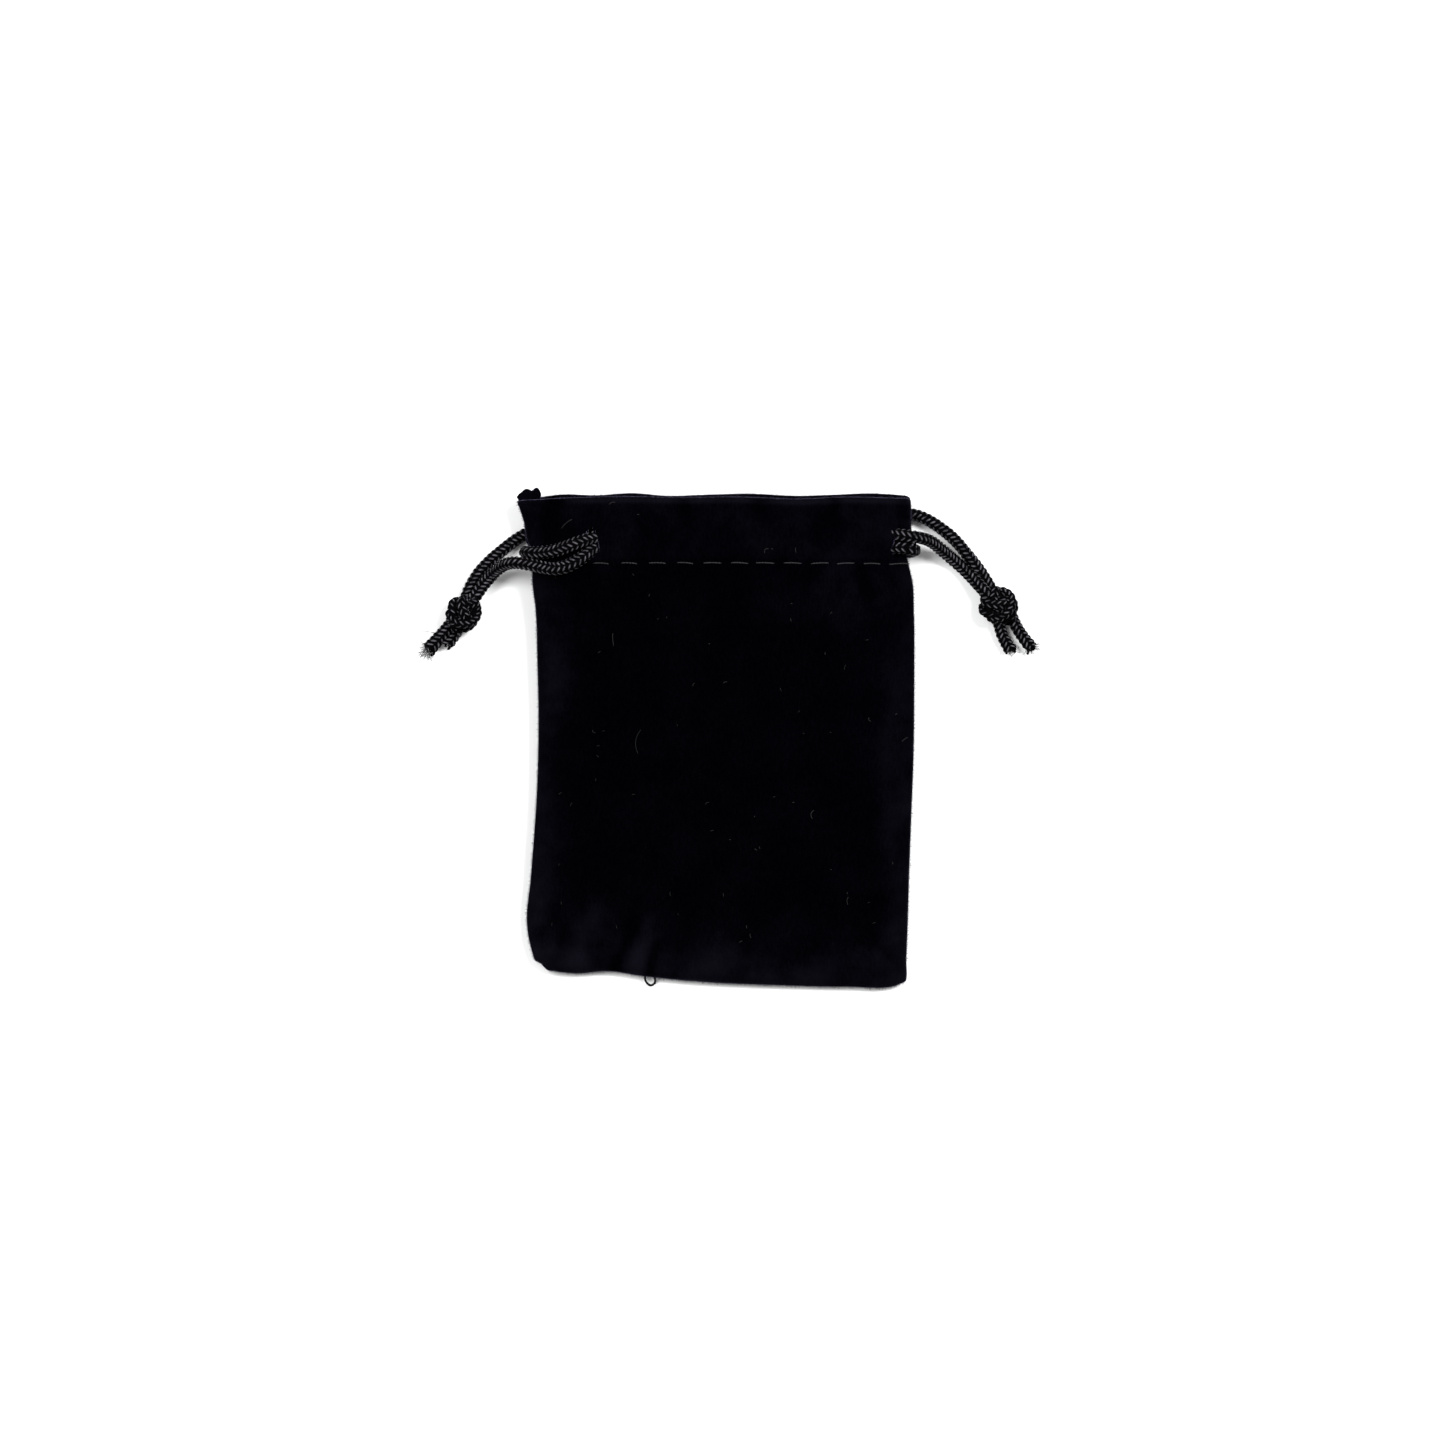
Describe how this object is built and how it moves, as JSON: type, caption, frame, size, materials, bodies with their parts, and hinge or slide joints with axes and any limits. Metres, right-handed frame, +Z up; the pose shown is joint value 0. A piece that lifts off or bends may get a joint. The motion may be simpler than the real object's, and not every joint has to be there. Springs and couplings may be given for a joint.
{
  "type": "drawstring dice bag",
  "caption": "Small flat velvet pouch with a stitched casing round its mouth and two knotted drawcords that pull out at opposite sides.",
  "frame": {"origin": "middle of the cloth's outline, on the surface that the bag lies on", "axes": "+X to the right, +Y towards the mouth, +Z up, out of the front of the bag"},
  "size_m": [0.1141, 0.0926, 0.0137],
  "materials": {
    "velvet": "black velvet with a short pile and a soft sheen",
    "cord": "black braided satin cord",
    "thread": "black sewing thread"
  },
  "bodies": {
    "pouch": {"front_panel": "velvet", "back_panel": "velvet", "side_fold": "velvet", "side_seam_allowance": "velvet", "bottom_seam_allowance": "velvet", "front_hem": "velvet", "back_hem": "velvet", "front_casing_stitches": "thread", "back_casing_stitches": "thread", "side_seam_stitches": "thread", "bottom_seam_stitches": "thread", "bottom_thread_loop": "thread"},
    "left_drawcord": {"left_cord": "cord", "left_knot": "cord", "left_tail_front": "cord", "left_tail_back": "cord"},
    "right_drawcord": {"right_cord": "cord", "right_knot": "cord", "right_tail_front": "cord", "right_tail_back": "cord"}
  },
  "joints": [
    {"name": "left_cord_pull", "type": "slide", "parent": "pouch", "child": "left_drawcord", "axis": [-1, 0, 0], "range_m": [0, 0.02], "deforming": ["left_cord"]},
    {"name": "right_cord_pull", "type": "slide", "parent": "pouch", "child": "right_drawcord", "axis": [1, 0, 0], "range_m": [0, 0.02], "deforming": ["right_cord"]}
  ]
}
